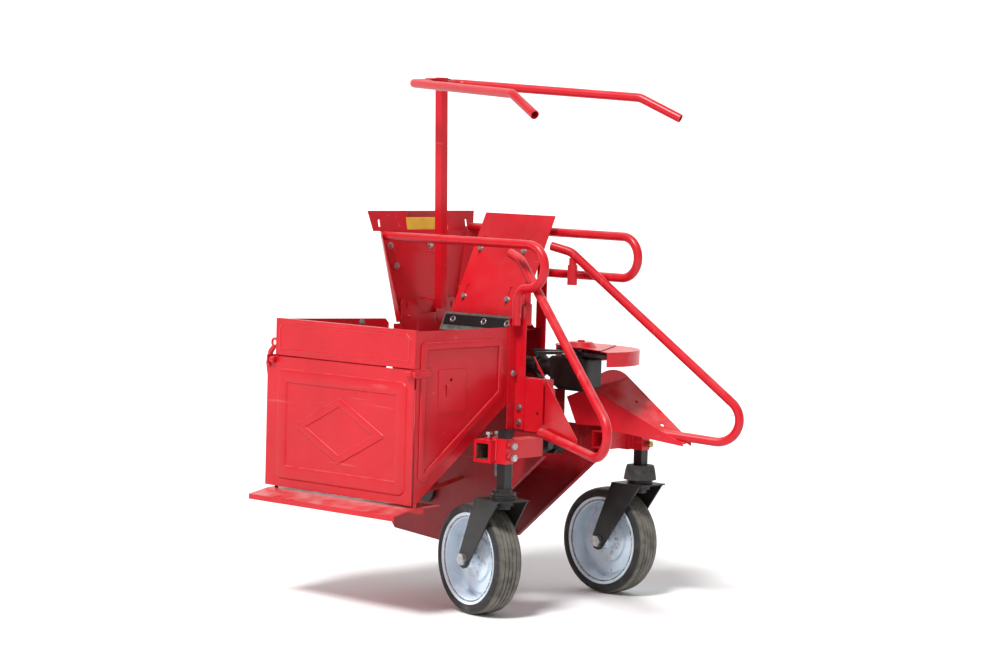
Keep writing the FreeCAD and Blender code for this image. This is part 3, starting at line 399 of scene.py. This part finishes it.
def weld(name, points, radius, body, material=None, pitch=3.2):
    """A hand-laid weld bead along a line: ripples about 3 mm apart, painted over."""
    dice = random.Random(name)
    route = []
    for a, b in zip(points, points[1:]):
        steps = max(2, int((b - a).length / (pitch / 4 * MM)))
        route += [a.lerp(b, k / steps) for k in range(steps)]
    route.append(points[-1])
    rings = []
    for k, here in enumerate(route):
        ahead = route[min(k + 1, len(route) - 1)] - route[max(k - 1, 0)]
        ripple = 1 + 0.22 * math.sin(math.pi * k / 2) + dice.uniform(-0.1, 0.1)
        end = min(k, len(route) - 1 - k)
        size = radius * ripple * min(1.0, 0.45 + 0.2 * end)
        rings.append(lathe(here, ahead, [(size, 0)], count=8)[0])
    skin, faces = rings_mesh(rings, cap_start=True, cap_end=True)
    return piece(name, skin, faces, material or red_enamel, body)


# ---------------------------------------------------------------- guide post and arms
# A square tube post with a bent round tube on top, both red; the tube's open ends, rubbed bare on the real
# post, are painted red like the rest.
paint(red_enamel, "guide_post", "guide_arms")

# ---------------------------------------------------------------- back plate and post bracket
# Folded red sheet. A flat strap joins the right rail to it, and hexagon bolts hold the strap, the
# guide post's foot and the bracket; the label on the folded lip is left blank.
paint(red_enamel, "back_plate", "post_bracket")


def joined(*skins):
    """Several skins as one list of points and one of faces."""
    points, faces = [], []
    for more, sides in skins:
        faces += [tuple(i + len(points) for i in side) for side in sides]
        points += more
    return points, faces


def hexagon_bolt(name, seat, direction, flats, material, body, turn=0.3):
    """A bolt head with a chamfered crown, on a flat washer."""
    corner = flats / math.sqrt(3)
    rim = corner * 1.25
    washer = lathe(seat, direction, [(rim, -0.3), (rim, 1.2), (corner * 1.18, 1.5), (3, 1.5)])
    crown = [(corner, 1.4), (corner, flats * 0.50), (corner * 0.86, flats * 0.60)]
    head = lathe(seat, direction, crown, 6, turn)
    points, faces = joined(rings_mesh(washer), rings_mesh(head, cap_end=True))
    return piece(name, points, faces, material, body, smooth=False)


def on_back_plate(y, z, h):
    """A point h mm in front of the back plate's main sheet."""
    return at(-600 - (z - 750) * 18 / 310 + h, y, z)


def on_lip(y, z, h):
    """A point h mm in front of the folded lip."""
    return at(-614.7 - (z - 1003) * 11.3 / 57 + h, y, z)


M8_FLATS, STRAP = 13, 3.0
strap = [(141, 976), (186, 885), (215, 899), (170, 990)]
pressing("rail_strap", strap, 0, STRAP, 13, on_back_plate, "header")
for name, y, z, lift, plating in (("rail_strap_bolt_1", 172, 962, STRAP, zinc_plate),
                                  ("rail_strap_bolt_2", 196, 905, STRAP, zinc_plate),
                                  ("post_foot_bolt", 378, 805, 0, yellow_zinc),
                                  ("post_tab_bolt", 337, 962, 0, zinc_plate)):
    hexagon_bolt(name, on_back_plate(y, z, lift), (1, 0, 0.06), M8_FLATS, plating, "header")
for i, (y, z) in enumerate(((233, 762), (354, 753))):
    rivet("bracket_rivet_%d" % (i + 1), at(-589, y, z), (1, 0, 0), 4.5, red_enamel, "header")
hexagon_bolt("rear_wall_bolt", at(-648, 104, 745), (1, 0, 0), M8_FLATS, zinc_plate, "header")


def printed_film(name, colour, shade):
    """Printed vinyl film: satin, faded in patches, with specks of grime."""
    material, tree = blank_material(name)
    place = add(tree, "ShaderNodeTexCoord").outputs["Object"]
    body = mixed(tree, blotches(tree, place, 35, 0.3, 0.7, detail=4.0), linear(colour), linear(shade))
    grime = times(tree, blotches(tree, place, 8, 0.6, 0.8, detail=5.0), 0.5)
    body = mixed(tree, grime, body, linear("#8A8078"))
    wrinkles = add(tree, "ShaderNodeTexNoise", {"Vector": place, "Scale": 1000 / 18, "Detail": 2.0})
    creases = {"Height": wrinkles.outputs["Fac"], "Strength": 0.2, "Distance": 0.3 * MM}
    bump = add(tree, "ShaderNodeBump", creases).outputs[0]
    shader = add(tree, "ShaderNodeBsdfPrincipled", {"Base Color": body, "Roughness": 0.4, "Normal": bump})
    add(tree, "ShaderNodeOutputMaterial", {"Surface": shader.outputs[0]})
    return material


label_yellow = printed_film("yellow_vinyl_film", "#E2B93A", "#D3A62C")
label_red = printed_film("red_vinyl_film", "#A81C22", "#98151C")
pressing("lip_label", [(245, 1006), (415, 1006), (415, 1042), (245, 1042)], 0, 0.5, 3, on_lip, "header",
         label_yellow)
pressing("lip_label_strip", [(245, 1042), (415, 1042), (415, 1058), (245, 1058)], 0, 0.5, 3, on_lip, "header",
         label_red)

# ---------------------------------------------------------------- deflector and rubber curtain
# The deflector is flat red sheet. The curtain is 5 mm fabric-reinforced rubber, cut from old belting,
# grey with dust; a black flat bar clamps it.
paint(red_enamel, "deflector", "deflector_stays")


def rubber(name, colour, shade, dust_colour, dust, grain_mm, strength):
    material, tree = blank_material(name)
    place = add(tree, "ShaderNodeTexCoord").outputs["Object"]
    body = mixed(tree, blotches(tree, place, 30, 0.3, 0.7, detail=5.0), linear(colour), linear(shade))
    powder = lying_dust(tree, place, 18, top=dust, side=dust * 0.6, high_z=1.4)
    body = mixed(tree, powder, body, linear(dust_colour))
    grain = add(tree, "ShaderNodeTexNoise", {"Vector": place, "Scale": 1000 / grain_mm, "Detail": 3.0})
    skin = {"Height": grain.outputs["Fac"], "Strength": strength, "Distance": 0.4 * MM}
    bump = add(tree, "ShaderNodeBump", skin).outputs[0]
    shader = add(tree, "ShaderNodeBsdfPrincipled", {"Base Color": body, "Roughness": 0.72, "Normal": bump})
    add(tree, "ShaderNodeOutputMaterial", {"Surface": shader.outputs[0]})
    return material


belting = rubber("rubber_belting", "#5C605B", "#4A4E4A", "#9A9C92", 0.8, 2.0, 0.5)
black_enamel = enamel("black_enamel", "#1B1C1E", "#131415", "#5B544A", 0.42, peel=0.15, dust=0.55, side=0.14,
                      scratch="#6A6A68")
paint(belting, "curtain")
paint(black_enamel, "curtain_clamp")

# Three zinc washers sit along the middle of the clamp's bar, on its outer face
UP_SLOPE = Vector((0, 137, 282)).normalized()
OUTWARDS = Vector((0, -UP_SLOPE.z, UP_SLOPE.y))
BAR_MIDDLE, BAR_FACE = -25, 8.4
ring = [(4.5, -0.2), (4.5, 1.6), (9.4, 1.8), (10.4, 1.0), (10.4, -0.2)]
for i, x in enumerate((-480, -362, -274)):
    seat = at(x, 318, 778) + (UP_SLOPE * BAR_MIDDLE + OUTWARDS * BAR_FACE) * MM
    skin, faces = rings_mesh(lathe(seat, OUTWARDS, ring))
    piece("clamp_washer_%d" % (i + 1), skin, faces, zinc_plate, "header")

# ---------------------------------------------------------------- row drive
# Rolls, rotor and cases are castings or turned bar, most of them hidden inside the header.

def casting(name, colour, shade):
    """Sand-cast iron under a thin black paint, with the sand's grain still showing."""
    material, tree = blank_material(name)
    place = add(tree, "ShaderNodeTexCoord").outputs["Object"]
    body = mixed(tree, blotches(tree, place, 25, 0.3, 0.7, detail=5.0), linear(colour), linear(shade))
    powder = lying_dust(tree, place, 15, top=0.5, side=0.12, high_z=1.0)
    body = mixed(tree, powder, body, linear("#6A635A"))
    rough = add(tree, "ShaderNodeMapRange", {"Value": powder, "To Min": 0.38, "To Max": 0.8}).outputs[0]
    grain = add(tree, "ShaderNodeTexNoise", {"Vector": place, "Scale": 1000 / 2.2, "Detail": 4.0})
    soft_edge = add(tree, "ShaderNodeBevel", {"Radius": 2.0 * MM}, samples=3).outputs[0]
    sand = {"Height": grain.outputs["Fac"], "Strength": 0.35, "Distance": 0.5 * MM, "Normal": soft_edge}
    bump = add(tree, "ShaderNodeBump", sand).outputs[0]
    shader = add(tree, "ShaderNodeBsdfPrincipled", {"Base Color": body, "Roughness": rough, "Normal": bump})
    add(tree, "ShaderNodeOutputMaterial", {"Surface": shader.outputs[0]})
    return material


cast_iron = casting("black_cast_iron", "#1E1F22", "#141517")
paint(cast_iron, "snapping_roll_right", "snapping_roll_left", "gear_case", "shaft_bearings", "chopper_pulley",
      "gearbox_case")
paint(turned_steel, "roll_gear_right", "roll_gear_left", "cross_shaft", "star_shaft")
paint(black_enamel, "chopper_rotor", "drive_tube", "star_wheel")
paint(red_enamel, "star_guard", "hub_cover")

# ---------------------------------------------------------------- casters
# Square sleeves slide on the beams and are clamped by set screws; the holder of each stem is welded on.
paint(red_enamel, "beam_sleeve_right", "beam_sleeve_left")
for side, y in (("right", 0), ("left", 571)):
    for end, dy in (("outer", -17.5), ("inner", 17.5)):
        weld("holder_weld_%s_%s" % (side, end), [at(-16, y + dy, 421), at(-16, y + dy, 474)], 3.2,
             "sleeve_" + side)
paint(black_enamel, "stem_right", "stem_left", "fork_right", "fork_left")
moulded_rubber = rubber("moulded_rubber", "#232427", "#1B1C1E", "#6B6459", 0.5, 1.5, 0.2)
paint(moulded_rubber, "stem_boot")
paint(zinc_plate, "axle_bolt_right", "axle_bolt_left", "frame_bolts", "set_screws_right")
paint(yellow_zinc, "set_screws_left")

# ---------------------------------------------------------------- wheels
# Pressed steel rims in pale blue-white enamel and solid rubber tyres with grooved treads. Dust sits in
# the tread and rust has started around the hub.

def wheel_places(tree, side):
    """Distance from the axle's middle plane, and from the axle, of each point of a wheel, in metres."""
    joint = [j for j in frame["joints"] if j["name"] == "wheel_spin_" + side][0]
    place = add(tree, "ShaderNodeTexCoord").outputs["Object"]
    offset = add(tree, "ShaderNodeVectorMath", {0: place, 1: joint["pos_m"]}, operation="SUBTRACT").outputs[0]
    shadow = add(tree, "ShaderNodeVectorMath", {0: offset, 1: joint["axis"]}, operation="DOT_PRODUCT")
    along = shadow.outputs["Value"]
    axis = add(tree, "ShaderNodeCombineXYZ", {i: joint["axis"][i] for i in range(3)}).outputs[0]
    part = add(tree, "ShaderNodeVectorMath", {0: axis, "Scale": along}, operation="SCALE").outputs[0]
    spoke = add(tree, "ShaderNodeVectorMath", {0: offset, 1: part}, operation="SUBTRACT").outputs[0]
    radius = add(tree, "ShaderNodeVectorMath", {0: spoke}, operation="LENGTH").outputs["Value"]
    return place, along, radius


def tyre_rubber(side):
    material, tree = blank_material("vulcanised_tyre_" + side)
    place, along, radius = wheel_places(tree, side)
    body = mixed(tree, blotches(tree, place, 40, 0.3, 0.7, detail=5.0), linear("#2B2B2A"), linear("#1F1F1F"))
    crown = {"Value": radius, "From Min": 144.5 * MM, "From Max": 147.5 * MM}
    tread = add(tree, "ShaderNodeMapRange", crown).outputs[0]
    worn = times(tree, tread, blotches(tree, place, 28, 0.15, 0.6, detail=6.0))
    body = mixed(tree, times(tree, worn, 0.85), body, linear("#77736A"))
    smear = times(tree, blotches(tree, place, 35, 0.5, 0.75, detail=6.0), 0.35)
    body = mixed(tree, smear, body, linear("#6B6559"))
    # Mould ribs run round the tyre, 3 mm apart
    ribs = add(tree, "ShaderNodeMath", {0: along, 1: 2 * math.pi / (3 * MM)}, operation="MULTIPLY").outputs[0]
    ribs = add(tree, "ShaderNodeMath", {0: ribs}, operation="SINE").outputs[0]
    bump = add(tree, "ShaderNodeBump", {"Height": ribs, "Strength": 0.25, "Distance": 0.25 * MM}).outputs[0]
    shader = add(tree, "ShaderNodeBsdfPrincipled", {"Base Color": body, "Roughness": 0.68, "Normal": bump})
    add(tree, "ShaderNodeOutputMaterial", {"Surface": shader.outputs[0]})
    return material


def rim_enamel(side):
    material, tree = blank_material("pale_rim_enamel_" + side)
    place, along, radius = wheel_places(tree, side)
    body = mixed(tree, blotches(tree, place, 120, 0.3, 0.7), linear("#E3F0FA"), linear("#D3E4F2"))
    hub = add(tree, "ShaderNodeMapRange", {"Value": radius, "From Min": 0.062, "From Max": 0.018}).outputs[0]
    rusty_hub = times(tree, hub, blotches(tree, place, 14, 0.52, 0.7, detail=6.0))
    film = times(tree, blotches(tree, place, 60, 0.48, 0.80, detail=7.0), 0.32)
    body = mixed(tree, film, body, linear("#948B80"))
    body = mixed(tree, rusty_hub, body, linear("#8A5B34"))
    chips = blotches(tree, place, 9, 0.70, 0.74, detail=2.0)
    body = mixed(tree, times(tree, chips, 0.7), body, linear("#7A5A42"))
    waves = add(tree, "ShaderNodeTexNoise", {"Vector": place, "Scale": 1000 / 5, "Detail": 2.0})
    peel = {"Height": waves.outputs["Fac"], "Strength": 0.1, "Distance": 0.3 * MM}
    bump = add(tree, "ShaderNodeBump", peel).outputs[0]
    shader = add(tree, "ShaderNodeBsdfPrincipled", {"Base Color": body, "Roughness": 0.33, "Normal": bump,
                                                    "Coat Weight": 0.3, "Coat Roughness": 0.1})
    add(tree, "ShaderNodeOutputMaterial", {"Surface": shader.outputs[0]})
    return material


for side in ("right", "left"):
    paint(tyre_rubber(side), "tyre_" + side)
    paint(rim_enamel(side), "rim_" + side)

# ---------------------------------------------------------------- floor, light and camera
def studio_floor():
    material, tree = blank_material("pale_studio_floor")
    place = add(tree, "ShaderNodeTexCoord").outputs["Object"]
    tone = mixed(tree, blotches(tree, place, 900, 0.3, 0.7), linear("#F4F4F4"), linear("#EFEFEF"))
    shader = add(tree, "ShaderNodeBsdfPrincipled", {"Base Color": tone, "Roughness": 0.9})
    add(tree, "ShaderNodeOutputMaterial", {"Surface": shader.outputs[0]})
    return material


AZIMUTH, PITCH, ROLL = math.radians(41.91), math.radians(4.105), math.radians(1.651)

# The floor sweeps up into a wall behind the machine, so that no horizon shows
back = Vector((-math.sin(AZIMUTH), math.cos(AZIMUTH), 0))
level = Vector((math.cos(AZIMUTH), math.sin(AZIMUTH), 0))
HALF_WIDTH, FLAT, BEND, WALL = 30.0, 6.0, 5.0, 25.0
STEPS = 16
sweep = [(-HALF_WIDTH, 0)]
for k in range(STEPS + 1):
    angle = math.pi / 2 * k / STEPS
    sweep.append((FLAT + BEND * math.sin(angle), BEND * (1 - math.cos(angle))))
sweep.append((FLAT + BEND, WALL))
skin = [back * d + level * w + Vector((0, 0, z)) for d, z in sweep for w in (-HALF_WIDTH, HALF_WIDTH)]
strips = [(2 * k, 2 * k + 1, 2 * k + 3, 2 * k + 2) for k in range(len(sweep) - 1)]
mesh = bpy.data.meshes.new("studio_sweep")
mesh.from_pydata([tuple(p) for p in skin], [], strips)
mesh.polygons.foreach_set("use_smooth", [True] * len(mesh.polygons))
mesh.materials.append(studio_floor())
floor = bpy.data.objects.new("studio_sweep", mesh)
scene.collection.objects.link(floor)

world = bpy.data.worlds.new("studio")
scene.world = world
world.use_nodes = True
world.node_tree.nodes["Background"].inputs["Color"].default_value = linear("#FFFFFF")
world.node_tree.nodes["Background"].inputs["Strength"].default_value = 0.40

lamp = bpy.data.lights.new("key", "SUN")
lamp.energy = 3.4
lamp.angle = math.radians(14)
key = bpy.data.objects.new("key", lamp)
scene.collection.objects.link(key)
SUNWARDS = Vector((0.14, -0.58, 0.80))
key.rotation_euler = (-SUNWARDS).to_track_quat("-Z", "Y").to_euler()

ahead = Vector((-math.sin(AZIMUTH) * math.cos(PITCH), math.cos(AZIMUTH) * math.cos(PITCH), -math.sin(PITCH)))
upright = level.cross(ahead)
across = level * math.cos(ROLL) + upright * math.sin(ROLL)
top = upright * math.cos(ROLL) - level * math.sin(ROLL)
camera_data = bpy.data.cameras.new("camera")
camera_data.sensor_width = 36.0
camera_data.lens = 99.24
camera = bpy.data.objects.new("camera", camera_data)
scene.collection.objects.link(camera)
aim = Matrix((across, top, -ahead)).transposed().to_4x4()
camera.matrix_world = Matrix.Translation(at(4823.9, -5407.5, 1282.1)) @ aim
scene.camera = camera
scene.view_settings.view_transform = "Standard"

bpy.context.view_layer.update()
